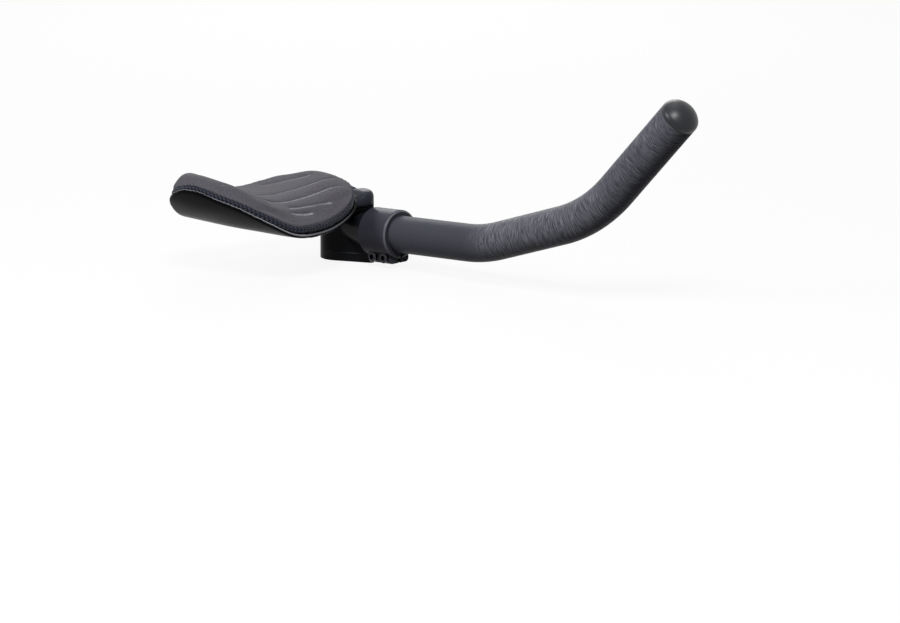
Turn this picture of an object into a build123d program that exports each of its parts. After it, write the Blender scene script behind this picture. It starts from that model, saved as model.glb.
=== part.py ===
from build123d import *
import math
import os

os.makedirs("parts", exist_ok=True)

# A right-hand clip-on extension with its forearm rest, in millimetres.
# X points forward along the extension, Y to the rider's left, Z up.
# The origin is on the bar seat, under the extension's axis.

# Extension tube, measured along its axis
tube_diameter = 22.2
tube_wall = 2.0
tube_rise = 3.0
first_run = 68.0
second_run = 89.0
last_run = 88.5
first_bend = 15.0
second_bend = 28.0
bend_radius = 100.0

# Tip plug
dome_height = 8.8
dome_knuckle = 4.5
plug_lip = 1.2
plug_stem = 18.0
plug_wall = 1.8
plug_clearance = 0.1

# Clamp body: collar, tail and the teardrop column that carries them
collar_mouth = 43.5
collar_length = 23.0
collar_wall = 3.4
collar_ground = 4.0
collar_edge = 1.2
bore_clearance = 0.05
bore_past_collar = 3.0
tail_step = 1.3
tail_reach = 54.0
tail_lift = 4.0
tail_radius = 4.0
column_rear_radius = 13.0
column_nose_radius = 2.2
column_rear_reach = 20.5
column_front_reach = 19.5
neck_taper = 2.5
neck_shoulder = 10.0
neck_height = 20.0
slit_width = 1.6

# Pinch bolts across the collar's split
pinch_bolt_diameter = 4.0
pinch_head_diameter = 6.4
pinch_head_height = 4.0
pinch_socket = 3.0
pinch_spacing = 9.5
pinch_cover = 0.5
lug_half_width = 8.0
lug_margin = 0.6
lug_corner = 2.5
lug_inset = 2.6
head_recess = 2.4
thread_clearance = 0.05
hole_clearance = 0.2

# Base spacer between the column and the bar
spacer_height = 5.5
bar_bolt_diameter = 6.0
bar_bolt_setback = 4.9
bar_bolt_spacing = 15.0
bar_bolt_depth = 14.0

# Rest bracket: the wedge-topped plate that carries the cup
bracket_front = 21.5
bracket_rear = 25.0
bracket_inner = 4.5
bracket_outer = 34.0
bracket_corner = 9.0
bracket_edge = 3.5
bracket_height = 6.0
bracket_skirt = 4.5
bracket_web = 5.0
web_inset = 2.0
seat_clearance = 0.3
bracket_bolt_diameter = 4.0
bracket_head_diameter = 6.0
bracket_head_height = 2.2
bracket_head_sink = 4.2
bracket_socket = 2.5
bracket_bolt_spacing = 17.0
bracket_bolt_setback = 4.0
bracket_bolt_offset = 0.3
bracket_bolt_reach = 11.0

# Forearm cup: a saddle with a steep outer wing and a gentle inner wing
cup_wall = 2.6
cup_lip = 1.4
saddle_depth = 15.6
saddle_pitch = -0.059
outer_wing_start = -88.0
outer_wing_rear = -77.8
outer_wing_curl = 0.0215
outer_wing_toe = 0.0016
inner_wing_start = -50.0
inner_wing_curl = 0.0068
inner_wing_toe = -0.25
cup_screw_diameter = 4.0
cup_head_diameter = 7.4
cup_head_height = 1.7
cup_head_sink = 0.3
cup_screw_socket = 2.5
cup_screw_length = 6.6
cup_screw_places = [(-14, -20), (4, -15)]

# Pad: hook tape, looped backing and moulded foam
hook_thickness = 1.0
loop_thickness = 2.4
foam_inset = 1.2
foam_edge = 1.8
foam_depth = 10.6
foam_pitch = -0.001
foam_roll = 13.2
foam_blunt = 21.0
foam_blunt_half = 48.0
foam_overrun = 0.2
foam_front_start = -7.6
foam_front_roll = 0.0062
foam_outer_rise = 20.6
foam_outer_spread = 37.2
foam_inner_rise = 20.8
foam_inner_spread = 65.6
foam_trough = -59.8
foam_trough_toe = -0.198

# Lines pressed into the foam, each through the plan points that it passes
groove_width = 1.6
groove_depth = 0.9
groove_lines = [
    [(1, -13), (-6, -35), (-14, -60), (-22, -81), (-28, -100)],
    [(12, -19), (8, -42), (5, -66), (1, -82), (-5, -100)],
    [(-35, -41), (-26, -28), (-16, -17)],
    [(15, -65), (18, -52), (22, -36)],
    [(21, -68), (23, -60), (24, -53)],
    [(-39, -79), (-21, -62)],
    [(-30, -90), (-25, -85)],
    [(-18, -79), (-7, -71)],
    [(5, -84), (17, -80)],
]

# Plan of the rest's rim, from the middle of its rear edge outwards and round
rim_points = [
    (-45, -52), (-44, -93), (-38, -109), (-21, -114), (1, -108), (18, -98), (30, -84), (34, -63),
    (32, -42), (27, -24), (14, -11), (-6, -3.5), (-24, -2), (-35, -8), (-42, -26),
]
rim_centre = Vector(-6, -58)
surface_margin = 14.0
surface_step = 9.0
saddle_fit = 0.01
foam_fit = 0.3

# Values that follow from the driving dimensions
tube_radius = tube_diameter / 2
bore_radius = tube_radius + bore_clearance
collar_radius = tube_radius + collar_wall
barrel_radius = collar_radius - tail_step
axis_height = collar_ground + collar_radius
collar_rear = collar_mouth - collar_length
bore_floor = collar_rear - bore_past_collar
shoulder_height = axis_height + neck_shoulder
neck_top = axis_height + neck_height
bracket_top = neck_top + bracket_height
cup_floor = bracket_top - saddle_depth
pinch_drop = bore_radius + pinch_cover + pinch_bolt_diameter / 2
lug_bottom = pinch_drop + pinch_head_diameter / 2 + lug_margin
prism_height = 2 * (bracket_top + foam_outer_rise)

# The clamped run's own frames: along the axis, and across it
rise = math.radians(tube_rise)
run_direction = Vector(math.cos(rise), 0, math.sin(rise))
run_origin = Vector(0, 0, axis_height)
run_plane = Plane(origin=run_origin, x_dir=run_direction, z_dir=(0, -1, 0))
run_axis = Axis(run_origin, run_direction)


def cross_plane(along, lift=0.0):
    """Plane across the clamped run, at a distance along its axis."""
    centre = run_plane.from_local_coords((along, lift, 0))
    return Plane(origin=centre, x_dir=(0, 1, 0), z_dir=run_direction)


def teardrop(rear_radius):
    """Plan of the column: a round rear and a narrow blunt nose."""
    rear = Pos(column_rear_radius - column_rear_reach, 0) * Circle(rear_radius)
    nose = Pos(column_front_reach - column_nose_radius, 0) * Circle(column_nose_radius)
    return make_hull(rear.edges() + nose.edges())


def neck_block(clearance):
    """Tapered head of the column, grown sideways by a clearance."""
    return loft([
        Pos(0, 0, shoulder_height) * teardrop(column_rear_radius + clearance),
        Pos(0, 0, neck_top) * teardrop(column_rear_radius - neck_taper + clearance),
    ])


def socket_bolt(shank_radius, length, head_radius, head_height, socket):
    """Socket-head bolt that points down from a seat at the origin."""
    shank = Pos(0, 0, -length / 2) * Cylinder(shank_radius, length)
    head = Pos(0, 0, head_height / 2) * Cylinder(head_radius, head_height)
    head = chamfer(head.edges().sort_by(Axis.Z)[-1], head_height / 10)
    key = extrude(RegularPolygon(socket / 2, 6, major_radius=False), head_height)
    return shank + head - Pos(0, 0, head_height / 2) * key


def bolt_room(shank_radius, passage, depth, head_radius, sink):
    """Room for a socket-head bolt: head recess, free passage, then thread."""
    recess = Pos(0, 0, sink / 2) * Cylinder(head_radius + hole_clearance, sink)
    free = Pos(0, 0, -passage / 2) * Cylinder(shank_radius + hole_clearance, passage)
    thread = Pos(0, 0, -depth / 2) * Cylinder(shank_radius + thread_clearance, depth)
    return recess + free + thread


def countersunk(clearance):
    """Countersunk screw body that points down from its top, grown by a clearance."""
    head_radius = cup_head_diameter / 2 + clearance
    shank_radius = cup_screw_diameter / 2 + clearance
    tip = -cup_screw_length - clearance
    profile = Polyline(
        (0, 0), (head_radius, 0), (shank_radius, -cup_head_height), (shank_radius, tip), (0, tip), close=True,
    )
    return revolve(Plane.XZ * make_face(profile), Axis.Z)


def under_cup(x, y):
    """Height of the cup's underside."""
    outer_start = outer_wing_start + outer_wing_toe * (x - outer_wing_rear) ** 2
    outer = max(0.0, outer_start - y)
    inner = max(0.0, y - inner_wing_start - inner_wing_toe * x)
    return cup_floor + saddle_pitch * x + outer_wing_curl * outer**2 + inner_wing_curl * inner**2


def stations(values):
    """Evenly spaced stations that reach past the rim on both sides."""
    low = min(values) - surface_margin
    span = max(values) + surface_margin - low
    count = math.ceil(span / surface_step)
    return [low + span * index / count for index in range(count + 1)]


def saddle_face(height, fit):
    """Smooth face that fits a height formula, wider than the rest."""
    xs = stations([x for x, y in rim_points])
    ys = stations([y for x, y in rim_points])
    rows = [[Vector(x, y, height(x, y)) for y in ys] for x in xs]
    return Face.make_surface_from_array_of_points(rows, tol=fit)


def rim_plan(grow):
    """Plan of the rest's rim, moved outwards by a distance."""
    moved = []
    for point in rim_points:
        arm = Vector(*point) - rim_centre
        moved.append(rim_centre + arm * (1 + grow / arm.length))
    return make_face(Spline(moved, periodic=True))


def between(plan, low, high):
    """Solid over a plan, between two saddle faces."""
    prism = extrude(plan, prism_height)
    return split(split(prism, bisect_by=low, keep=Keep.TOP), bisect_by=high, keep=Keep.BOTTOM)


def raised(rise_by):
    """Face that lies above the cup's underside by a distance."""
    return saddle_face(lambda x, y: under_cup(x, y) + rise_by, saddle_fit)


# Extension tube: straight runs joined by tangent bends
def run_point(start, length, angle):
    slope = math.radians(angle)
    return start + Vector(math.cos(slope), 0, math.sin(slope)) * length


tube_start = run_plane.from_local_coords((bore_floor, 0, 0))
first_corner = run_plane.from_local_coords((collar_mouth + first_run, 0, 0))
second_corner = run_point(first_corner, second_run, tube_rise + first_bend)
tip_angle = tube_rise + first_bend + second_bend
tube_end = run_point(second_corner, last_run, tip_angle)
tube_path = FilletPolyline(tube_start, first_corner, second_corner, tube_end, radius=bend_radius)
tube_section = cross_plane(bore_floor) * (Circle(tube_radius) - Circle(tube_radius - tube_wall))
extension_tube = sweep(tube_section, path=tube_path)

# Tip plug: a dome with a hollow stem that pushes into the tube
stem_radius = tube_radius - tube_wall - plug_clearance
tip_direction = (tube_end - second_corner).normalized()
tip_plane = Plane(origin=tube_end, x_dir=(0, 1, 0), z_dir=tip_direction)
dome_rise = dome_height - plug_lip
knuckle_reach = tube_radius - dome_knuckle
crown_radius = (knuckle_reach**2 + dome_rise**2 - dome_knuckle**2) / (2 * (dome_rise - dome_knuckle))
crown_centre = Vector(0, dome_height - crown_radius)
knuckle_centre = Vector(knuckle_reach, plug_lip)
knuckle_end = crown_centre + (knuckle_centre - crown_centre).normalized() * crown_radius
knuckle_middle = (Vector(tube_radius, plug_lip) + knuckle_end) / 2 - knuckle_centre
knuckle_middle = knuckle_centre + knuckle_middle.normalized() * dome_knuckle
knuckle_arc = ThreePointArc((tube_radius, plug_lip), knuckle_middle, knuckle_end)
crown_arc = RadiusArc(knuckle_end, (0, dome_height), -crown_radius)
plug_outline = Polyline(
    (0, dome_height), (0, 0), (stem_radius - plug_wall, 0), (stem_radius - plug_wall, -plug_stem),
    (stem_radius, -plug_stem), (stem_radius, 0), (tube_radius, 0), (tube_radius, plug_lip),
)
plug_profile = make_face(Curve() + [knuckle_arc, crown_arc, plug_outline])
tip_plug = tip_plane * revolve(Plane.XZ * plug_profile, Axis.Z)

# Clamp body: collar, swept-up tail, teardrop column and pinch lugs
collar_profile = run_plane * make_face(Polyline(
    (collar_rear, 0), (collar_rear, barrel_radius), (collar_rear + tail_step, collar_radius),
    (collar_mouth - collar_edge, collar_radius), (collar_mouth, collar_radius - collar_edge),
    (collar_mouth, 0), close=True,
))
collar = revolve(collar_profile, run_axis)
tail_end = collar_rear - tail_reach + tail_radius
tail = loft([
    cross_plane(collar_rear) * Circle(barrel_radius),
    cross_plane(tail_end, tail_lift) * Circle(tail_radius),
])
tail_nose = Pos(run_plane.from_local_coords((tail_end, tail_lift, 0))) * Sphere(tail_radius)
column = Pos(0, 0, spacer_height) * extrude(teardrop(column_rear_radius), shoulder_height - spacer_height)
neck = neck_block(0)
lug_section = Pos(0, -lug_bottom / 2) * RectangleRounded(2 * lug_half_width, lug_bottom, lug_corner)
lug = extrude(cross_plane(collar_rear + lug_inset) * lug_section, collar_length - 2 * lug_inset)
clamp_body = collar + tail + tail_nose + column + neck + lug
bore = extrude(cross_plane(bore_floor) * Circle(bore_radius), collar_mouth - bore_floor + collar_edge)
slit_length = collar_length - tail_step
slit_middle = (collar_mouth - slit_length / 2, -lug_bottom / 2 - slit_width, 0)
slit = run_plane * (Pos(slit_middle) * Box(slit_length, lug_bottom + slit_width, slit_width))
clamp_body -= [bore, slit]

# Pinch bolts: heads on the outer side, threads in the inner lug
pinch_seat = lug_half_width - head_recess
pinch_length = pinch_seat + lug_half_width - lug_margin
pinch_middle = collar_rear + collar_length / 2
pinch_bolts = []
for side in (-1, 1):
    along = pinch_middle + side * pinch_spacing / 2
    place = Plane(
        origin=run_plane.from_local_coords((along, -pinch_drop, pinch_seat)),
        x_dir=run_direction, z_dir=(0, -1, 0),
    )
    bolt = socket_bolt(
        pinch_bolt_diameter / 2, pinch_length, pinch_head_diameter / 2, pinch_head_height, pinch_socket,
    )
    pinch_bolts.append(place * bolt)
    clamp_body -= place * bolt_room(
        pinch_bolt_diameter / 2, pinch_seat, 2 * pinch_length, pinch_head_diameter / 2, 2 * pinch_head_height,
    )

# Base spacer, with the two holes that the bar's bolts pass through
base_spacer = extrude(teardrop(column_rear_radius), spacer_height)
for side in (-1, 1):
    at = Pos(side * bar_bolt_spacing / 2 - bar_bolt_setback, 0, 0)
    base_spacer -= at * Cylinder(bar_bolt_diameter / 2 + hole_clearance, 2 * spacer_height)
    depth = spacer_height + bar_bolt_depth
    clamp_body -= at * Pos(0, 0, depth / 2) * Cylinder(bar_bolt_diameter / 2, depth)

# Rest bracket: a rounded triangle with a skirt round the neck, then following the cup outwards
bracket_fore = bracket_front - bracket_corner
bracket_aft = bracket_corner - bracket_rear
bracket_near = bracket_inner - bracket_corner
bracket_far = bracket_corner - bracket_outer
bracket_corners = [(bracket_fore, bracket_near), (bracket_aft, bracket_near), (bracket_aft, bracket_far)]
bracket_plan = make_hull([(Pos(corner) * Circle(bracket_corner)).edge() for corner in bracket_corners])
web_radius = bracket_corner - web_inset
web_plan = make_hull([(Pos(corner) * Circle(web_radius)).edge() for corner in bracket_corners])
slab = Pos(0, 0, neck_top - bracket_skirt) * extrude(bracket_plan, bracket_skirt + bracket_height)
slab_rims = slab.edges().group_by(Axis.Z)
slab = fillet(slab_rims[0] + slab_rims[-1], bracket_edge)
rest_bracket = slab + between(web_plan, raised(-bracket_web), raised(0))
rest_bracket = split(rest_bracket, bisect_by=raised(0), keep=Keep.BOTTOM)
rest_bracket = rest_bracket & extrude(bracket_plan, bracket_top)
rest_bracket -= neck_block(seat_clearance)

# Bracket bolts: heads sunk in the bracket's flat, threads in the neck
bracket_seat = bracket_top - bracket_head_sink
bracket_grip = bracket_seat - neck_top
bracket_bolt_length = bracket_grip + bracket_bolt_reach
bracket_bolts = []
for side in (-1, 1):
    place = Pos(side * bracket_bolt_spacing / 2 - bracket_bolt_setback, bracket_bolt_offset, bracket_seat)
    bracket_bolts.append(place * socket_bolt(
        bracket_bolt_diameter / 2, bracket_bolt_length, bracket_head_diameter / 2, bracket_head_height,
        bracket_socket,
    ))
    room = place * bolt_room(
        bracket_bolt_diameter / 2, bracket_grip, bracket_bolt_length + hole_clearance,
        bracket_head_diameter / 2, 2 * bracket_head_sink,
    )
    rest_bracket -= room
    clamp_body -= room

# Cup, looped backing and foam share the saddle, one above the other
loop_bottom = cup_wall + hook_thickness
foam_bottom = loop_bottom + loop_thickness
arm_cup = between(rim_plan(cup_lip), raised(0), raised(cup_wall))
hook_tape = between(rim_plan(-foam_inset), raised(cup_wall), raised(loop_bottom))
loop_backing = between(rim_plan(0), raised(loop_bottom), raised(foam_bottom))
foam_face = rim_plan(-foam_inset).face()
foam_rim = foam_face.outer_wire()
rim_rear = rim_points[0][0]

# Cup screws: flush in the cup, square to its slope, threaded into the bracket
cup_screws = []
for x, y in cup_screw_places:
    slope_x = (under_cup(x + 1, y) - under_cup(x - 1, y)) / 2
    slope_y = (under_cup(x, y + 1) - under_cup(x, y - 1)) / 2
    out = Vector(-slope_x, -slope_y, 1).normalized()
    surface = Vector(x, y, under_cup(x, y) + cup_wall)
    place = Plane(origin=surface - out * cup_head_sink, x_dir=(1, 0, slope_x), z_dir=out)
    key = Pos(0, 0, -cup_head_height) * RegularPolygon(cup_screw_socket / 2, 6, major_radius=False)
    cup_screws.append(place * (countersunk(0) - extrude(key, cup_head_height)))
    well = Pos(0, 0, cup_head_height / 2) * Cylinder(cup_head_diameter / 2 + hole_clearance, cup_head_height)
    arm_cup -= place * (countersunk(hole_clearance) + well)
    rest_bracket -= place * countersunk(thread_clearance)


def foam_top(x, y):
    """Height of the foam: a crowned trough that rolls down to a thin edge, blunt at the rear."""
    low = under_cup(x, y) + foam_bottom + foam_edge
    across = y - foam_trough - foam_trough_toe * x
    outer = min(0.0, across) / foam_outer_spread
    inner = max(0.0, across) / foam_inner_spread
    crown = cup_floor + foam_bottom + foam_depth + foam_pitch * x
    crown += foam_outer_rise * (1 - math.exp(-(outer**2)))
    crown += foam_inner_rise * (1 - math.exp(-(inner**2)))
    crown -= foam_front_roll * max(0.0, x - foam_front_start) ** 2
    point = Vector(x, y)
    reach = foam_rim.distance_to(point) * (1 if foam_face.is_inside(point) else -1)
    middle = max(0.0, 1 - ((y - rim_centre.Y) / foam_blunt_half) ** 2)
    reach += foam_blunt * middle * max(0.0, x / rim_rear) ** 2
    share = max(-foam_overrun, min(1.0, reach / foam_roll))
    return low + max(0.0, crown - low) * (1 - (1 - share) ** 2)


arm_pad = between(foam_face, raised(foam_bottom), saddle_face(foam_top, foam_fit))
groove_floor = saddle_face(lambda x, y: foam_top(x, y) - groove_depth, foam_fit)
for line in groove_lines:
    channel = extrude(trace(Spline(line), groove_width), prism_height)
    arm_pad -= split(channel, bisect_by=groove_floor, keep=Keep.TOP)

nodes = {
    "extension_tube": extension_tube,
    "tip_plug": tip_plug,
    "clamp_body": clamp_body,
    "pinch_bolts": Compound(children=[bolt.solid() for bolt in pinch_bolts]),
    "base_spacer": base_spacer,
    "rest_bracket": rest_bracket,
    "bracket_bolts": Compound(children=[bolt.solid() for bolt in bracket_bolts]),
    "arm_cup": arm_cup,
    "cup_screws": Compound(children=[screw.solid() for screw in cup_screws]),
    "hook_tape": hook_tape,
    "loop_backing": loop_backing,
    "arm_pad": arm_pad,
}
for name, shape in nodes.items():
    export_step(shape, f"parts/{name}.step")
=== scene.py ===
"""Looks of a clip-on handlebar extension: carbon tube, split clamp and padded forearm rest."""

import bisect
import logging
import math
from dataclasses import dataclass, field
from enum import Enum

import bmesh
import bpy
from mathutils import Matrix, Vector


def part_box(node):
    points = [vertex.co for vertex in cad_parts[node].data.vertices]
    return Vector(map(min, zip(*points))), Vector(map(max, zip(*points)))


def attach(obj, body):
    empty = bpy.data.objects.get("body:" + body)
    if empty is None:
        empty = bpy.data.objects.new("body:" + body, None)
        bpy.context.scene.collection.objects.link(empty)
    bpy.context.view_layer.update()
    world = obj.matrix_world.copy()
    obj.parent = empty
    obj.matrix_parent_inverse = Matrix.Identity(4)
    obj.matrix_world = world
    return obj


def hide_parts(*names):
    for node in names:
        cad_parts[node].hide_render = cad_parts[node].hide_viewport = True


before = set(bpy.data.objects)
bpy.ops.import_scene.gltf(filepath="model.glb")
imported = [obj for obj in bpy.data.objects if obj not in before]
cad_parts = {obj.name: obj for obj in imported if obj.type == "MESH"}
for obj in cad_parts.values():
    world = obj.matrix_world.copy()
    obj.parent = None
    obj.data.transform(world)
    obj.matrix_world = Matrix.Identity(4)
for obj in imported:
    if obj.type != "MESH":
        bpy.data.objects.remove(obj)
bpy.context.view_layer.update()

LOG = logging.getLogger("extension")
BODY = "root"
MM = 0.001
TUBE_MAP = "unrolled"
BAND_MAP = "loops"
PRESS_MARK = "pressed_highlight"
LIP_MARK = "lip_highlight"
WELD = 0.001 * MM
RELAX_SHARE = 0.5


class Slot(Enum):
    """Names of material slots."""

    CARBON = "carbon"
    BRACKET = "bracket_finish"
    CUP = "cup_plastic"
    FABRIC = "pad_fabric"
    FOAM = "pad_foam"


def linear(hex_colour: str) -> tuple[float, float, float, float]:
    """Turn an sRGB hex colour to a linear one.

    Args:
        hex_colour: six hex digits after a hash.

    Returns:
        Linear red, green, blue and an alpha of 1.
    """
    channels = [int(hex_colour[i:i + 2], 16) / 255 for i in (1, 3, 5)]
    red, green, blue = (c / 12.92 if c <= 0.04045 else ((c + 0.055) / 1.055) ** 2.4 for c in channels)
    return red, green, blue, 1.0


def add_node(
    tree: bpy.types.NodeTree, kind: str, inputs: dict | None = None, **settings: object,
) -> bpy.types.Node:
    """Add one node with its settings, its values and its links.

    Args:
        tree: node tree that gets the node.
        kind: Blender's name for the node's type.
        inputs: a value, or a socket to link from, for each input by name or number.
        settings: properties of the node itself.

    Returns:
        The new node.
    """
    node = tree.nodes.new(kind)
    for name, value in settings.items():
        setattr(node, name, value)
    for key, value in (inputs or {}).items():
        if isinstance(value, bpy.types.NodeSocket):
            tree.links.new(value, node.inputs[key])
        else:
            node.inputs[key].default_value = value
    return node


@dataclass(frozen=True)
class Finish:
    """A moulded, blasted or painted surface: one colour with a fine grain."""

    name: str
    colour: str
    roughness: float
    ior: float = 1.5
    specular: float = 0.5
    metallic: float = 0.0
    sheen: float = 0.0
    grain_mm: float = 0.5
    grain_depth_mm: float = 0.02
    grain_detail: float = 3.0
    grain_mix: float = 0.6
    bump_strength: float = 0.5
    roughness_spread: float = 0.06

    def material(self) -> bpy.types.Material:
        """Make the material, or give back the one that was made before.

        Returns:
            The finish as a material.
        """
        made = bpy.data.materials.get(self.name)
        if made:
            return made
        made = bpy.data.materials.new(self.name)
        made.use_nodes = True
        shader = made.node_tree.nodes["Principled BSDF"]
        shader.inputs["Base Color"].default_value = linear(self.colour)
        shader.inputs["Roughness"].default_value = self.roughness
        shader.inputs["Metallic"].default_value = self.metallic
        shader.inputs["IOR"].default_value = self.ior
        shader.inputs["Specular IOR Level"].default_value = self.specular
        shader.inputs["Sheen Weight"].default_value = self.sheen
        self.detail(made.node_tree, shader)
        return made

    def detail(self, tree: bpy.types.NodeTree, shader: bpy.types.Node) -> None:
        """Add the grain: a slight unevenness of height and gloss.

        Args:
            tree: the material's node tree.
            shader: its principled shader.
        """
        place = add_node(tree, "ShaderNodeTexCoord").outputs["Object"]
        # Blasting and mould grain are finer than 0.1 mm, so they are drawn coarser to show.
        grain = add_node(tree, "ShaderNodeTexNoise", {
            "Vector": place, "Scale": 1 / (self.grain_mm * MM), "Detail": self.grain_detail,
            "Roughness": self.grain_mix,
        }).outputs["Fac"]
        gloss = add_node(tree, "ShaderNodeMapRange", {
            "Value": grain, "To Min": self.roughness - self.roughness_spread,
            "To Max": self.roughness + self.roughness_spread,
        }).outputs["Result"]
        bump = add_node(tree, "ShaderNodeBump", {
            "Height": grain, "Strength": self.bump_strength, "Distance": self.grain_depth_mm * MM,
        }).outputs["Normal"]
        tree.links.new(gloss, shader.inputs["Roughness"])
        tree.links.new(bump, shader.inputs["Normal"])


@dataclass(frozen=True)
class ZonedForging(Finish):
    """A forging: darker, glossier column, blasted collar, and a painted highlight on the chamfer at the
    mouth.
    """

    polished: str = "#1f2026"
    polished_roughness: float = 0.24
    # Colour of the mouth's chamfer: a painted highlight.
    turned: str = "#6c6d75"
    tilt: float = 3.0
    collar_mm: float = 21.5
    mouth_mm: float = 43.5
    face_mm: float = 44.4
    blend_mm: float = 0.12

    def detail(self, tree: bpy.types.NodeTree, shader: bpy.types.Node) -> None:
        """Add the grain, and tell column, collar and mouth apart by their place along the bore.

        Args:
            tree: the material's node tree.
            shader: its principled shader.
        """
        super().detail(tree, shader)
        grain = shader.inputs["Roughness"].links[0].from_socket
        slope = math.radians(self.tilt)
        place = add_node(tree, "ShaderNodeTexCoord").outputs["Object"]
        along = add_node(tree, "ShaderNodeVectorMath", {
            0: place, 1: (math.cos(slope), 0.0, math.sin(slope)),
        }, operation="DOT_PRODUCT").outputs["Value"]
        # Column, collar, the mouth's chamfer with its painted highlight, and the dark end face, in order
        # along the bore.
        zones = (
            (self.collar_mm, self.colour), (self.mouth_mm, self.turned), (self.face_mm, self.polished),
        )
        colour = linear(self.polished)
        past = []
        for edge, shade in zones:
            past.append(add_node(tree, "ShaderNodeMapRange", {
                "Value": along, "From Min": (edge - self.blend_mm) * MM,
                "From Max": (edge + self.blend_mm) * MM,
            }).outputs["Result"])
            colour = add_node(tree, "ShaderNodeMix", {
                0: past[-1], 6: colour, 7: linear(shade),
            }, data_type="RGBA").outputs[2]
        gloss = add_node(tree, "ShaderNodeMix", {
            0: past[0], 2: self.polished_roughness, 3: grain,
        }).outputs[0]
        tree.links.new(colour, shader.inputs["Base Color"])
        tree.links.new(gloss, shader.inputs["Roughness"])


@dataclass(frozen=True)
class CarbonLaminate(Finish):
    """Bare carbon tow under a satin lacquer: grey hairs that sweep round the tube past a plain sleeve."""

    grain_detail: float = 4.0
    bump_strength: float = 0.4
    fibre: str = "#95969e"
    hair_long_mm: float = 9.0
    hair_wide_mm: float = 0.45
    hair_turn: float = -74.0
    cross_turn: float = -98.0
    hair_drift: float = 0.3
    strand_low: float = 0.41
    strand_high: float = 0.75
    patch_mm: float = 11.0
    patch_detail: float = 2.0
    patch_drift: float = 0.8
    patch_low: float = 0.42
    patch_high: float = 0.58
    sleeve_mm: float = 84.0
    fade_mm: float = 28.0
    calm_mm: float = 190.0
    calm_share: float = 0.7

    def detail(self, tree: bpy.types.NodeTree, shader: bpy.types.Node) -> None:
        """Draw two crossing layers of hairs on the tube's own map, in bunches.

        Args:
            tree: the material's node tree.
            shader: its principled shader.
        """
        unrolled = add_node(tree, "ShaderNodeUVMap", uv_map=TUBE_MAP).outputs["UV"]
        # Real tow is about 0.007 mm thick, so the hairs are drawn as coarse as the render can show.
        hairs = []
        for turn in (self.hair_turn, self.cross_turn):
            lie = add_node(tree, "ShaderNodeMapping", {
                "Vector": unrolled, "Rotation": (0.0, 0.0, math.radians(turn)),
                "Scale": (self.hair_long_mm * MM, self.hair_wide_mm * MM, 1.0),
            }, vector_type="TEXTURE").outputs["Vector"]
            hairs.append(add_node(tree, "ShaderNodeTexNoise", {
                "Vector": lie, "Scale": 1.0, "Detail": self.grain_detail, "Roughness": self.grain_mix,
                "Distortion": self.hair_drift,
            }, noise_dimensions="2D").outputs["Fac"])
        bunch = add_node(tree, "ShaderNodeTexNoise", {
            "Vector": unrolled, "Scale": 1 / (self.patch_mm * MM), "Detail": self.patch_detail,
            "Distortion": self.patch_drift,
        }, noise_dimensions="2D").outputs["Fac"]
        choice = add_node(tree, "ShaderNodeMapRange", {
            "Value": bunch, "From Min": self.patch_low, "From Max": self.patch_high,
        }, interpolation_type="SMOOTHSTEP").outputs["Result"]
        woven = add_node(tree, "ShaderNodeMix", {0: choice, 2: hairs[0], 3: hairs[1]}).outputs[0]
        strands = add_node(tree, "ShaderNodeMapRange", {
            "Value": woven, "From Min": self.strand_low, "From Max": self.strand_high,
        }).outputs["Result"]
        along = add_node(tree, "ShaderNodeSeparateXYZ", {"Vector": unrolled}).outputs["X"]
        bare = add_node(tree, "ShaderNodeMapRange", {
            "Value": along, "From Min": self.sleeve_mm * MM, "From Max": (self.sleeve_mm + self.fade_mm) * MM,
        }, interpolation_type="SMOOTHSTEP").outputs["Result"]
        calm = add_node(tree, "ShaderNodeMapRange", {
            "Value": along, "From Min": self.calm_mm * MM, "From Max": (self.calm_mm + self.fade_mm) * MM,
            "To Min": 1.0, "To Max": self.calm_share,
        }, interpolation_type="SMOOTHSTEP").outputs["Result"]
        laid = add_node(tree, "ShaderNodeMath", {0: bare, 1: calm}, operation="MULTIPLY").outputs[0]
        shown = add_node(tree, "ShaderNodeMath", {0: strands, 1: laid}, operation="MULTIPLY").outputs[0]
        colour = add_node(tree, "ShaderNodeMix", {
            0: shown, 6: linear(self.colour), 7: linear(self.fibre),
        }, data_type="RGBA").outputs[2]
        gloss = add_node(tree, "ShaderNodeMapRange", {
            "Value": shown, "To Min": self.roughness, "To Max": self.roughness - self.roughness_spread,
        }).outputs["Result"]
        bump = add_node(tree, "ShaderNodeBump", {
            "Height": shown, "Strength": self.bump_strength, "Distance": self.grain_depth_mm * MM,
        }).outputs["Normal"]
        tree.links.new(colour, shader.inputs["Base Color"])
        tree.links.new(gloss, shader.inputs["Roughness"])
        tree.links.new(bump, shader.inputs["Normal"])


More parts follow.
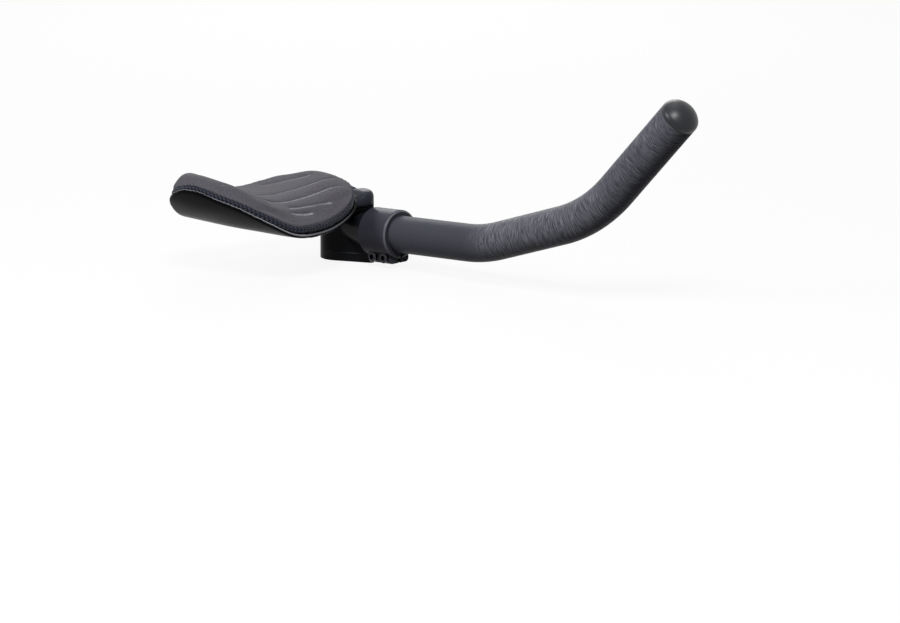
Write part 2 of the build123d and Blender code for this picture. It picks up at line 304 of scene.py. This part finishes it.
@dataclass(frozen=True)
class MouldedFoam(Finish):
    """Moulded EVA foam: matt pored skin, closed and glossier where the tool pressed it, with a painted
    highlight there.
    """

    bump_strength: float = 0.6
    pale: str = "#67656c"
    # Colour of the painted highlight on the pressed lines.
    pressed_highlight: str = "#a8a8b0"
    mottle_mm: float = 1.3
    mottle_detail: float = 5.0
    mottle_mix: float = 0.65

    def detail(self, tree: bpy.types.NodeTree, shader: bpy.types.Node) -> None:
        """Mottle the skin, roughen it with pores, and make the pressed lines glossier with a painted
        highlight.

        Args:
            tree: the material's node tree.
            shader: its principled shader.
        """
        place = add_node(tree, "ShaderNodeTexCoord").outputs["Object"]
        mottle = add_node(tree, "ShaderNodeTexNoise", {
            "Vector": place, "Scale": 1 / (self.mottle_mm * MM), "Detail": self.mottle_detail,
            "Roughness": self.mottle_mix,
        }).outputs["Fac"]
        # Real pores are about 0.1 mm, so they are drawn several times coarser to show.
        pores = add_node(tree, "ShaderNodeTexVoronoi", {
            "Vector": place, "Scale": 1 / (self.grain_mm * MM), "Randomness": 1.0,
        }).outputs["Distance"]
        skin = add_node(tree, "ShaderNodeMix", {
            0: mottle, 6: linear(self.colour), 7: linear(self.pale),
        }, data_type="RGBA").outputs[2]
        mark = add_node(tree, "ShaderNodeAttribute", attribute_name=PRESS_MARK).outputs["Fac"]
        # Painted highlight: the pressed lines are coloured pale.
        colour = add_node(tree, "ShaderNodeMix", {
            0: mark, 6: skin, 7: linear(self.pressed_highlight),
        }, data_type="RGBA").outputs[2]
        gloss = add_node(tree, "ShaderNodeMapRange", {
            "Value": mark, "To Min": self.roughness, "To Max": self.roughness - self.roughness_spread,
        }).outputs["Result"]
        bump = add_node(tree, "ShaderNodeBump", {
            "Height": pores, "Strength": self.bump_strength, "Distance": self.grain_depth_mm * MM,
        }).outputs["Normal"]
        tree.links.new(colour, shader.inputs["Base Color"])
        tree.links.new(gloss, shader.inputs["Roughness"])
        tree.links.new(bump, shader.inputs["Normal"])


@dataclass(frozen=True)
class HighlitLipMoulding(Finish):
    """A gloss moulding with a painted highlight along its lip."""

    # Colour of the painted highlight on the lip.
    lip_highlight: str = "#b4b5bd"

    def detail(self, tree: bpy.types.NodeTree, shader: bpy.types.Node) -> None:
        """Add the grain, and the painted highlight on the lip.

        Args:
            tree: the material's node tree.
            shader: its principled shader.
        """
        super().detail(tree, shader)
        # Painted highlight: the lip is paler where the mark is set.
        mark = add_node(tree, "ShaderNodeAttribute", attribute_name=LIP_MARK).outputs["Fac"]
        colour = add_node(tree, "ShaderNodeMix", {
            0: mark, 6: linear(self.colour), 7: linear(self.lip_highlight),
        }, data_type="RGBA").outputs[2]
        tree.links.new(colour, shader.inputs["Base Color"])


@dataclass(frozen=True)
class EdgedMoulding(Finish):
    """A dark moulding with a thin painted highlight along its top edge."""

    # Colour of the painted highlight along the top edge.
    edge_highlight: str = "#7c7d85"
    edge_mm: float = 5.15
    blend_mm: float = 0.1

    def detail(self, tree: bpy.types.NodeTree, shader: bpy.types.Node) -> None:
        """Add the grain, and the painted highlight line by its height.

        Args:
            tree: the material's node tree.
            shader: its principled shader.
        """
        super().detail(tree, shader)
        place = add_node(tree, "ShaderNodeTexCoord").outputs["Object"]
        height = add_node(tree, "ShaderNodeSeparateXYZ", {"Vector": place}).outputs["Z"]
        # Everything above the edge height gets the painted highlight colour.
        past = add_node(tree, "ShaderNodeMapRange", {
            "Value": height, "From Min": self.edge_mm * MM, "From Max": (self.edge_mm + self.blend_mm) * MM,
        }).outputs["Result"]
        colour = add_node(tree, "ShaderNodeMix", {
            0: past, 6: linear(self.colour), 7: linear(self.edge_highlight),
        }, data_type="RGBA").outputs[2]
        tree.links.new(colour, shader.inputs["Base Color"])


@dataclass(frozen=True)
class KnittedLoops(Finish):
    """Knitted polyester: two rows of slanted loops, shiny on the crown and black between."""

    bump_strength: float = 0.9
    gap: str = "#06060a"
    slant: float = 0.5
    crown_low: float = -0.7
    crown_high: float = 0.8

    def detail(self, tree: bpy.types.NodeTree, shader: bpy.types.Node) -> None:
        """Draw the loops on the band's own map, whose unit is one loop.

        Args:
            tree: the material's node tree.
            shader: its principled shader.
        """
        cell = add_node(tree, "ShaderNodeUVMap", uv_map=BAND_MAP).outputs["UV"]
        split = add_node(tree, "ShaderNodeSeparateXYZ", {"Vector": cell})
        height = add_node(tree, "ShaderNodeMath", {0: split.outputs["Y"]}, operation="ABSOLUTE").outputs[0]
        lean = add_node(tree, "ShaderNodeMath", {
            0: height, 1: self.slant, 2: split.outputs["X"],
        }, operation="MULTIPLY_ADD").outputs[0]
        phase = add_node(tree, "ShaderNodeMath", {0: lean, 1: math.tau}, operation="MULTIPLY").outputs[0]
        wave = add_node(tree, "ShaderNodeMath", {0: phase}, operation="SINE").outputs[0]
        crown = add_node(tree, "ShaderNodeMapRange", {
            "Value": wave, "From Min": self.crown_low, "From Max": self.crown_high,
        }, interpolation_type="SMOOTHSTEP").outputs["Result"]
        turn = add_node(tree, "ShaderNodeMath", {0: height, 1: math.pi}, operation="MULTIPLY").outputs[0]
        rows = add_node(tree, "ShaderNodeMath", {0: turn}, operation="SINE").outputs[0]
        row = add_node(tree, "ShaderNodeMath", {0: rows}, operation="ABSOLUTE").outputs[0]
        loop = add_node(tree, "ShaderNodeMath", {0: crown, 1: row}, operation="MULTIPLY").outputs[0]
        colour = add_node(tree, "ShaderNodeMix", {
            0: loop, 6: linear(self.gap), 7: linear(self.colour),
        }, data_type="RGBA").outputs[2]
        bump = add_node(tree, "ShaderNodeBump", {
            "Height": loop, "Strength": self.bump_strength, "Distance": self.grain_depth_mm * MM,
        }).outputs["Normal"]
        tree.links.new(colour, shader.inputs["Base Color"])
        tree.links.new(bump, shader.inputs["Normal"])


# Carbon under satin lacquer: black with a soft broad gloss, grey hairs where the tow lies bare.
CARBON = CarbonLaminate(
    "satin_lacquered_carbon", "#46474f", 0.45, specular=0.03, roughness_spread=0.08, grain_depth_mm=0.02,
)
# Nylon from a polished mould: black with a soft gloss that spreads over the dome.
PLUG_PLASTIC = Finish("moulded_nylon_plug", "#14161c", 0.38, specular=0.38, grain_mm=0.7)
# Anodised aluminium, bead blasted on the collar: grey-black satin beside a darker, glossier column; painted
# highlight at the mouth.
CLAMP_FINISH = ZonedForging("blasted_anodised_aluminium", "#3e3f48", 0.36, specular=0.05, grain_mm=0.4)
# Moulded polyamide: deep black with a low sheen, and a painted highlight along its top edge.
SPACER_PLASTIC = EdgedMoulding(
    "moulded_polyamide_spacer", "#111216", 0.35, specular=0.07, grain_mm=0.6,
)
# Stove enamel on cast aluminium: charcoal black with soft, slightly rippled reflections.
BRACKET_FINISH = Finish(
    "gloss_enamelled_aluminium", "#3a3c45", 0.3, specular=0.04, grain_mm=1.6, grain_depth_mm=0.01,
)
# Black oxide on steel: dark grey metal with an oily gleam.
BOLT_STEEL = Finish("black_oxide_steel", "#303036", 0.3, metallic=1.0, grain_mm=0.4)
# Glass-filled nylon from a polished mould: black, faintly rippled, with a painted highlight along the lip.
CUP_PLASTIC = HighlitLipMoulding(
    "moulded_gloss_nylon", "#050507", 0.26, specular=0.03, grain_mm=2.2, grain_depth_mm=0.012,
)
# Polyester knit with looped pile: navy black, dull, with a shine on each loop.
KNIT = KnittedLoops("knitted_polyester_loops", "#454960", 0.6, specular=0.2, sheen=0.1, grain_depth_mm=0.45)
# Nylon hook tape: black bristle that hardly reflects.
HOOKS = Finish("woven_nylon_hooks", "#0f0f14", 0.75, specular=0.1, grain_mm=0.8, grain_depth_mm=0.4)
# EVA foam: dark warm grey, matt, with a light bloom at grazing angles.
FOAM = MouldedFoam(
    "moulded_eva_foam", "#38373c", 0.78, specular=0.1, sheen=0.05, grain_mm=0.7, grain_depth_mm=0.14,
    roughness_spread=0.2,
)


def dress(node: str, finish: Finish) -> bpy.types.Object:
    """Give a CAD node its finish.

    Args:
        node: name of the node.
        finish: finish that covers it.

    Returns:
        The node's object.
    """
    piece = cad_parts[node]
    piece.data.materials.clear()
    piece.data.materials.append(finish.material())
    return piece


def place_piece(
    name: str, shape: bmesh.types.BMesh, finish: Finish, node: str,
) -> bpy.types.Object:
    """Put a finished shape in the scene for a CAD node.

    Args:
        name: name of the new piece.
        shape: its geometry, which is freed.
        finish: finish that covers it.
        node: CAD node that it stands for.

    Returns:
        The new piece.
    """
    mesh = bpy.data.meshes.new(name)
    for face in shape.faces:
        face.smooth = True
    shape.to_mesh(mesh)
    shape.free()
    mesh.materials.append(finish.material())
    piece = bpy.data.objects.new(name, mesh)
    bpy.context.collection.objects.link(piece)
    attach(piece, BODY)
    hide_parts(node)
    return piece


def smooth(shape: bmesh.types.BMesh, rounds: int) -> None:
    """Relax a shape's skin.

    Args:
        shape: the shape.
        rounds: how often it is relaxed.
    """
    for _ in range(rounds):
        bmesh.ops.smooth_vert(
            shape, verts=shape.verts, factor=RELAX_SHARE, use_axis_x=True, use_axis_y=True, use_axis_z=True,
        )


def share_of(value: float, whole: float) -> float:
    """Give a value as a share of a whole, between 0 and 1."""
    return min(1.0, max(0.0, value / whole))


def soft_copy(node: str, voxel_mm: float, rounds: int) -> bmesh.types.BMesh:
    """Copy a CAD node as one even skin with rounded edges.

    Args:
        node: name of the node.
        voxel_mm: size of the skin's faces.
        rounds: how often the skin is relaxed.

    Returns:
        The new shape.
    """
    shape = bmesh.new()
    shape.from_mesh(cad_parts[node].data)
    bmesh.ops.remove_doubles(shape, verts=shape.verts, dist=WELD)
    mesh = bpy.data.meshes.new("draft")
    shape.to_mesh(mesh)
    draft = bpy.data.objects.new("draft", mesh)
    bpy.context.collection.objects.link(draft)
    remesh = draft.modifiers.new("skin", "REMESH")
    remesh.mode = "VOXEL"
    remesh.voxel_size = voxel_mm * MM
    shape.clear()
    shape.from_object(draft, bpy.context.evaluated_depsgraph_get())
    bpy.data.objects.remove(draft)
    bpy.data.meshes.remove(mesh)
    smooth(shape, rounds)
    return shape


@dataclass
class Extension:
    """Bent carbon tube and the plug in its tip."""

    radius: float = 11.1 * MM
    wall: float = 2.0 * MM
    sides: int = 96
    start: tuple[float, float, float] = (17.476 * MM, 0.0, 19.416 * MM)
    rise: float = 3.0
    runs: tuple[float, ...] = (80.835 * MM, 50.902 * MM, 63.567 * MM)
    bends: tuple[float, ...] = (15.0, 28.0, 0.0)
    bend_radius: float = 100.0 * MM
    bend_step: float = 1.0
    rim: float = 0.35 * MM
    rim_steps: int = 3
    rim_angle: float = 60.0

    def build_tube(self) -> bpy.types.Object:
        """Sweep a ring through the runs and bends, and give it its wall.

        Returns:
            The tube.
        """
        shape = bmesh.new()
        spread = shape.verts.layers.float.new("along")
        turned = shape.verts.layers.float.new("turned")
        slope = math.radians(self.rise)
        heading = Vector((math.cos(slope), 0.0, math.sin(slope)))
        place = Matrix.Translation(self.start) @ heading.to_track_quat("Z", "Y").to_matrix().to_4x4()
        bmesh.ops.create_circle(shape, segments=self.sides, radius=self.radius, matrix=place)
        shape.verts.ensure_lookup_table()
        for index, vert in enumerate(shape.verts):
            vert[turned] = math.tau * self.radius * index / self.sides
        rim = list(shape.edges)
        middle = Vector(self.start)
        travelled = 0.0
        for run, bend in zip(self.runs, self.bends):
            grown = bmesh.ops.extrude_edge_only(shape, edges=rim)["geom"]
            ring = [item for item in grown if isinstance(item, bmesh.types.BMVert)]
            bmesh.ops.translate(shape, verts=ring, vec=heading * run)
            middle = middle + heading * run
            travelled += run
            rim = self.mark_rim(grown, spread, travelled)
            steps = round(bend / self.bend_step)
            pivot = middle + Vector((-heading.z, 0.0, heading.x)) * self.bend_radius
            for _ in range(steps):
                grown = bmesh.ops.spin(
                    shape, geom=rim, cent=pivot, axis=(0.0, -1.0, 0.0), angle=math.radians(bend / steps),
                    steps=1,
                )["geom_last"]
                travelled += self.bend_radius * math.radians(bend / steps)
                rim = self.mark_rim(grown, spread, travelled)
            swing = Matrix.Rotation(math.radians(bend), 3, (0.0, -1.0, 0.0))
            heading = swing @ heading
            middle = pivot + swing @ (middle - pivot)
        bmesh.ops.recalc_face_normals(shape, faces=shape.faces)
        self.unroll(shape, spread, turned)
        tube = place_piece("carbon_tube", shape, CARBON, "extension_tube")
        wall = tube.modifiers.new("wall", "SOLIDIFY")
        wall.thickness = self.wall
        wall.offset = -1.0
        edge = tube.modifiers.new("rim", "BEVEL")
        edge.width = self.rim
        edge.segments = self.rim_steps
        edge.limit_method = "ANGLE"
        edge.angle_limit = math.radians(self.rim_angle)
        return tube

    @staticmethod
    def mark_rim(
        grown: list[bmesh.types.BMVert | bmesh.types.BMEdge], spread: bmesh.types.BMLayerItem,
        travelled: float,
    ) -> list[bmesh.types.BMEdge]:
        """Note how far along the tube a new ring lies.

        Args:
            grown: geometry of the new ring.
            spread: vertex layer that holds the distance.
            travelled: distance from the tube's rear end.

        Returns:
            The ring's edges.
        """
        for item in grown:
            if isinstance(item, bmesh.types.BMVert):
                item[spread] = travelled
        return [item for item in grown if isinstance(item, bmesh.types.BMEdge)]

    def unroll(
        self, shape: bmesh.types.BMesh, spread: bmesh.types.BMLayerItem, turned: bmesh.types.BMLayerItem,
    ) -> None:
        """Lay the tube's skin flat in a map in metres, with its seam along one line.

        Args:
            shape: the swept tube.
            spread: vertex layer with the distance along the tube.
            turned: vertex layer with the distance round it.
        """
        flat = shape.loops.layers.uv.new(TUBE_MAP)
        girth = math.tau * self.radius
        for face in shape.faces:
            wraps = max(v[turned] for v in face.verts) - min(v[turned] for v in face.verts) > girth / 2
            for loop in face.loops:
                around = loop.vert[turned]
                if wraps and around < girth / 2:
                    around += girth
                loop[flat].uv = (loop.vert[spread], around)

    def build(self) -> list[bpy.types.Object]:
        """Build the tube and dress the plug."""
        return [self.build_tube(), dress("tip_plug", PLUG_PLASTIC)]


@dataclass
class Clamp:
    """Split clamp on its column, with its spacer and pinch bolts."""

    finishes: dict[str, Finish] = field(default_factory=lambda: {
        "clamp_body": CLAMP_FINISH, "base_spacer": SPACER_PLASTIC, "pinch_bolts": BOLT_STEEL,
    })

    def build(self) -> list[bpy.types.Object]:
        """Dress the clamp's pieces."""
        return [dress(node, finish) for node, finish in self.finishes.items()]


@dataclass
class Rest:
    """Bracket and forearm cup with their fasteners."""

    finishes: dict[str, Finish] = field(default_factory=lambda: {
        "bracket_bolts": BOLT_STEEL, "cup_screws": BOLT_STEEL,
    })
    bracket_skin_mm: float = 0.4
    bracket_rounds: int = 90
    cup_skin_mm: float = 0.47
    cup_rounds: int = 24
    lip_rounds: int = 56
    lip_start: float = 0.33 * MM
    lip_depth: float = 0.3 * MM
    lip_facing: float = -0.1
    lip_turn: float = 0.5
    wing_start: float = -22.0 * MM
    wing_reach: float = 50.0 * MM

    def build_cup(self) -> bpy.types.Object:
        """Round the cup's lip and mark where a highlight is painted on it.

        Returns:
            The cup.
        """
        shape = soft_copy("arm_cup", self.cup_skin_mm, self.cup_rounds)
        shape.normal_update()
        mark = shape.verts.layers.float.new(LIP_MARK)
        relaxed = shape.copy()
        smooth(relaxed, self.lip_rounds)
        for vert, calm in zip(shape.verts, relaxed.verts):
            # The painted highlight lies where the lip is proud, faces up and is on the outer wing.
            proud = (vert.co - calm.co).dot(vert.normal) - self.lip_start
            facing = share_of(vert.normal.z - self.lip_facing, self.lip_turn)
            outer = share_of(self.wing_start - vert.co.y, self.wing_reach)
            vert[mark] = share_of(proud, self.lip_depth) * facing * outer
        relaxed.free()
        return place_piece("forearm_cup", shape, CUP_PLASTIC, "arm_cup")

    def build_bracket(self) -> bpy.types.Object:
        """Flow the bracket's faces into each other, as a casting's do."""
        shape = soft_copy("rest_bracket", self.bracket_skin_mm, self.bracket_rounds)
        return place_piece("cast_bracket", shape, BRACKET_FINISH, "rest_bracket")

    def build(self) -> list[bpy.types.Object]:
        """Build the bracket and the cup, and dress their fasteners."""
        made = [self.build_bracket(), self.build_cup()]
        return made + [dress(node, finish) for node, finish in self.finishes.items()]


@dataclass
class Pad:
    """Hook layer, knitted backing and moulded foam."""

    foam_skin_mm: float = 0.6
    foam_rounds: int = 5
    mark_rounds: int = 60
    mark_start: float = 0.1 * MM
    mark_depth: float = 0.4 * MM
    dip_rounds: int = 130
    dip_depth: float = 5.5 * MM
    band_skin_mm: float = 0.5
    edge_rounds: int = 8
    band_rounds: int = 5
    welt_growth: float = 1.05
    welt_most: float = 1.25 * MM
    welt_wide: float = 1.0 * MM
    welt_fade: float = 0.8 * MM
    hook_skin_mm: float = 0.6
    hook_rounds: int = 2
    loop_wide: float = 2.5 * MM
    loop_tall: float = 2.1 * MM
    outline_bins: int = 360
    outline_spread: int = 4

    def build_foam(self) -> bpy.types.Object:
        """Soften the foam, mark where it is pressed and let it swell between the marks.

        Returns:
            The foam pad.
        """
        shape = soft_copy("arm_pad", self.foam_skin_mm, self.foam_rounds)
        mark = shape.verts.layers.float.new(PRESS_MARK)
        relaxed = shape.copy()
        smooth(relaxed, self.mark_rounds)
        for vert, calm in zip(shape.verts, relaxed.verts):
            sunk = (calm.co - vert.co).dot(vert.normal) - self.mark_start
            vert[mark] = share_of(sunk, self.mark_depth)
            calm.co = (vert[mark], 0.0, 0.0)
        smooth(relaxed, self.dip_rounds)
        shape.normal_update()
        for vert, calm in zip(shape.verts, relaxed.verts):
            vert.co -= vert.normal * self.dip_depth * calm.co.x
        relaxed.free()
        pad = place_piece("foam_pad", shape, FOAM, "arm_pad")
        return pad

    def bearing_cell(self, arm: Vector) -> int:
        """Number the direction of a point, seen from the band's centre."""
        return int((math.atan2(arm.y, arm.x) / math.tau + 0.5) * self.outline_bins) % self.outline_bins

    def outline(self, shape: bmesh.types.BMesh, centre: Vector) -> list[tuple[float, float, float]]:
        """Trace the band's outer edge.

        Args:
            shape: the band.
            centre: middle of its plan.

        Returns:
            Bearing, reach from the centre and middle height, in order of bearing.
        """
        reach: dict[int, float] = {}
        for vert in shape.verts:
            arm = vert.co - centre
            cell = self.bearing_cell(arm)
            reach[cell] = max(reach.get(cell, 0.0), math.hypot(arm.x, arm.y))
        heights: dict[int, list[float]] = {}
        for vert in shape.verts:
            arm = vert.co - centre
            cell = self.bearing_cell(arm)
            if math.hypot(arm.x, arm.y) > reach[cell] - self.loop_tall / 2:
                heights.setdefault(cell, []).append(vert.co.z)
        cells = sorted(reach)
        reaches = self.even([reach[cell] for cell in cells])
        middles = self.even([(min(heights[cell]) + max(heights[cell])) / 2 for cell in cells])
        bearings = [((cell + 0.5) / self.outline_bins - 0.5) * math.tau for cell in cells]
        return list(zip(bearings, reaches, middles))

    def even(self, values: list[float]) -> list[float]:
        """Average each value of a closed trace with its neighbours."""
        spread = range(-self.outline_spread, self.outline_spread + 1)
        return [sum(values[(i + k) % len(values)] for k in spread) / len(spread) for i in range(len(values))]

    def map_loops(self, shape: bmesh.types.BMesh) -> None:
        """Swell the band's edge to a welt and lay it flat in a map whose unit is one knitted loop.

        Args:
            shape: the band as a thin layer.
        """
        low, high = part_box("loop_backing")
        centre = (low + high) / 2
        trace = self.outline(shape, centre)
        bearings = [bearing for bearing, _, _ in trace]
        places = [Vector((math.cos(b) * r, math.sin(b) * r)) for b, r, _ in trace]
        lengths = [0.0]
        for here, there in zip(places, places[1:] + places[:1]):
            lengths.append(lengths[-1] + (there - here).length)
        loops = round(lengths[-1] / self.loop_wide)
        cells: list[tuple[float, float]] = []
        for vert in shape.verts:
            arm = vert.co - centre
            bearing = math.atan2(arm.y, arm.x)
            after = bisect.bisect_left(bearings, bearing) % len(trace)
            before = after - 1
            gap = (bearings[after] - bearings[before]) % math.tau
            share = ((bearing - bearings[before]) % math.tau) / gap
            stretch = (places[after] - places[before]).length
            along = (lengths[before % len(trace)] + stretch * share) / lengths[-1] * loops
            reach = trace[before][1] + (trace[after][1] - trace[before][1]) * share
            middle = trace[before][2] + (trace[after][2] - trace[before][2]) * share
            inside = max(0.0, reach - math.hypot(arm.x, arm.y))
            fade = share_of(self.welt_wide + self.welt_fade - inside, self.welt_fade)
            swell = (vert.co.z - middle) * self.welt_growth * fade
            vert.co.z += min(self.welt_most, max(-self.welt_most, swell))
            up = vert.co.z - middle
            cells.append((along, (up + math.copysign(inside, up)) / self.loop_tall))
        self.lay_flat(shape, cells, loops)

    @staticmethod
    def lay_flat(shape: bmesh.types.BMesh, cells: list[tuple[float, float]], loops: int) -> None:
        """Write the band's map, with its seam closed.

        Args:
            shape: the band.
            cells: place along and across the band for each vertex, in loops.
            loops: number of loops round the band.
        """
        flat = shape.loops.layers.uv.new(BAND_MAP)
        shape.verts.index_update()
        for face in shape.faces:
            furthest = max(cells[vert.index][0] for vert in face.verts)
            for loop in face.loops:
                along, up = cells[loop.vert.index]
                loop[flat].uv = (along + loops if furthest - along > loops / 2 else along, up)

    def build_band(self) -> bpy.types.Object:
        """Give the knitted backing its welt and its loops.

        Returns:
            The backing.
        """
        shape = soft_copy("loop_backing", self.band_skin_mm, self.edge_rounds)
        self.map_loops(shape)
        smooth(shape, self.band_rounds)
        return place_piece("knitted_backing", shape, KNIT, "loop_backing")

    def build_hooks(self) -> bpy.types.Object:
        """Soften the hook layer's edge."""
        shape = soft_copy("hook_tape", self.hook_skin_mm, self.hook_rounds)
        return place_piece("hook_layer", shape, HOOKS, "hook_tape")

    def build(self) -> list[bpy.types.Object]:
        """Build the pad's three layers."""
        return [self.build_hooks(), self.build_band(), self.build_foam()]


@dataclass(frozen=True)
class Softbox:
    """A large soft lamp that points at a spot on the object."""

    name: str
    place: tuple[float, float, float]
    aim: tuple[float, float, float]
    size: float
    power: float

    def build(self) -> bpy.types.Object:
        """Place the lamp.

        Returns:
            The lamp's object.
        """
        lamp = bpy.data.lights.new(self.name, "AREA")
        lamp.shape = "SQUARE"
        lamp.size = self.size
        lamp.energy = self.power
        piece = bpy.data.objects.new(self.name, lamp)
        piece.location = self.place
        piece.rotation_euler = (Vector(self.aim) - Vector(self.place)).to_track_quat("-Z", "Y").to_euler()
        bpy.context.collection.objects.link(piece)
        return piece


@dataclass
class Studio:
    """Pale floor, soft lamps, white surround and the photograph's camera."""

    azimuth: float = 44.18
    elevation: float = 12.83
    camera_place: tuple[float, float, float] = (1.3961, -1.3502, 0.4089)
    lens: float = 131.1
    floor_half: float = 6.0
    floor_shade: float = 0.04
    floor_white: float = 0.95
    floor_glow: float = 0.9
    surround: float = 0.06
    lamps: list[Softbox] = field(default_factory=lambda: [
        Softbox("key_softbox", (0.85, -0.75, 1.2), (0.1, 0.0, 0.05), 0.4, 16.0),
        Softbox("side_softbox", (-0.4, -1.4, 0.75), (0.1, 0.0, 0.05), 0.5, 12.0),
        Softbox("top_softbox", (0.0, 0.2, 1.5), (0.1, 0.0, 0.05), 0.8, 2.5),
        Softbox("rear_softbox", (-0.9, 0.9, 0.8), (0.1, 0.0, 0.05), 0.8, 8.0),
    ])

    def white_rays(self, tree: bpy.types.NodeTree) -> bpy.types.NodeSocket:
        """Tell the rays that see the backdrop from those that only light the object.

        Args:
            tree: node tree of the floor or the world.

        Returns:
            A socket that is 1 for camera, glossy and transmission rays.
        """
        path = add_node(tree, "ShaderNodeLightPath")
        some = add_node(tree, "ShaderNodeMath", {
            0: path.outputs["Is Camera Ray"], 1: path.outputs["Is Glossy Ray"],
        }, operation="MAXIMUM")
        return add_node(tree, "ShaderNodeMath", {
            0: some.outputs[0], 1: path.outputs["Is Transmission Ray"],
        }, operation="MAXIMUM").outputs[0]

    def build_world(self) -> None:
        """White where it is seen, softer where it only lights."""
        world = bpy.data.worlds.new("white_surround")
        world.use_nodes = True
        tree = world.node_tree
        back = tree.nodes["Background"]
        back.inputs["Color"].default_value = (1.0, 1.0, 1.0, 1.0)
        level = add_node(tree, "ShaderNodeMapRange", {
            "Value": self.white_rays(tree), "To Min": self.surround, "To Max": 1.0,
        })
        tree.links.new(level.outputs["Result"], back.inputs["Strength"])
        bpy.context.scene.world = world

    def build_floor(self) -> bpy.types.Object:
        """Pale floor that keeps a soft shadow and is white to the camera.

        Returns:
            The floor.
        """
        mesh = bpy.data.meshes.new("floor")
        shape = bmesh.new()
        bmesh.ops.create_grid(shape, x_segments=1, y_segments=1, size=self.floor_half)
        shape.to_mesh(mesh)
        shape.free()
        floor = bpy.data.objects.new("floor", mesh)
        bpy.context.collection.objects.link(floor)
        paper = bpy.data.materials.new("white_paper")
        paper.use_nodes = True
        tree = paper.node_tree
        shader = tree.nodes["Principled BSDF"]
        shader.inputs["Roughness"].default_value = 1.0
        shader.inputs["Specular IOR Level"].default_value = 0.0
        seen = self.white_rays(tree)
        tone = add_node(tree, "ShaderNodeMapRange", {
            "Value": seen, "To Min": self.floor_shade, "To Max": self.floor_white,
        })
        tree.links.new(tone.outputs["Result"], shader.inputs["Base Color"])
        glow = add_node(tree, "ShaderNodeEmission", {"Color": (1.0, 1.0, 1.0, 1.0), "Strength": 1.0})
        share = add_node(tree, "ShaderNodeMath", {0: seen, 1: self.floor_glow}, operation="MULTIPLY")
        mixed = add_node(tree, "ShaderNodeMixShader", {
            0: share.outputs[0], 1: shader.outputs["BSDF"], 2: glow.outputs["Emission"],
        })
        tree.links.new(mixed.outputs[0], tree.nodes["Material Output"].inputs["Surface"])
        mesh.materials.append(paper)
        return floor

    def build_camera(self) -> bpy.types.Object:
        """Camera at the photograph's angle and framing.

        Returns:
            The camera.
        """
        lens = bpy.data.cameras.new("camera")
        lens.lens = self.lens
        lens.sensor_fit = "HORIZONTAL"
        camera = bpy.data.objects.new("camera", lens)
        turn = math.radians(self.azimuth)
        tilt = math.radians(self.elevation)
        back = Vector((math.sin(turn) * math.cos(tilt), -math.cos(turn) * math.cos(tilt), math.sin(tilt)))
        camera.rotation_mode = "QUATERNION"
        camera.rotation_quaternion = (-back).to_track_quat("-Z", "Y")
        camera.location = self.camera_place
        bpy.context.collection.objects.link(camera)
        bpy.context.scene.camera = camera
        return camera

    def build(self) -> None:
        """Set up the whole studio."""
        bpy.context.scene.view_settings.view_transform = "Standard"
        self.build_world()
        self.build_floor()
        self.build_camera()
        for lamp in self.lamps:
            lamp.build()


def main() -> None:
    """Build the studio and the sub-assemblies, and report each piece."""
    logging.basicConfig(level=logging.INFO, format="%(name)s: %(message)s")
    Studio().build()
    for assembly in (Extension(), Clamp(), Rest(), Pad()):
        for piece in assembly.build():
            LOG.info("%s: %d faces", piece.name, len(piece.data.polygons))


if __name__ == "__main__":
    main()
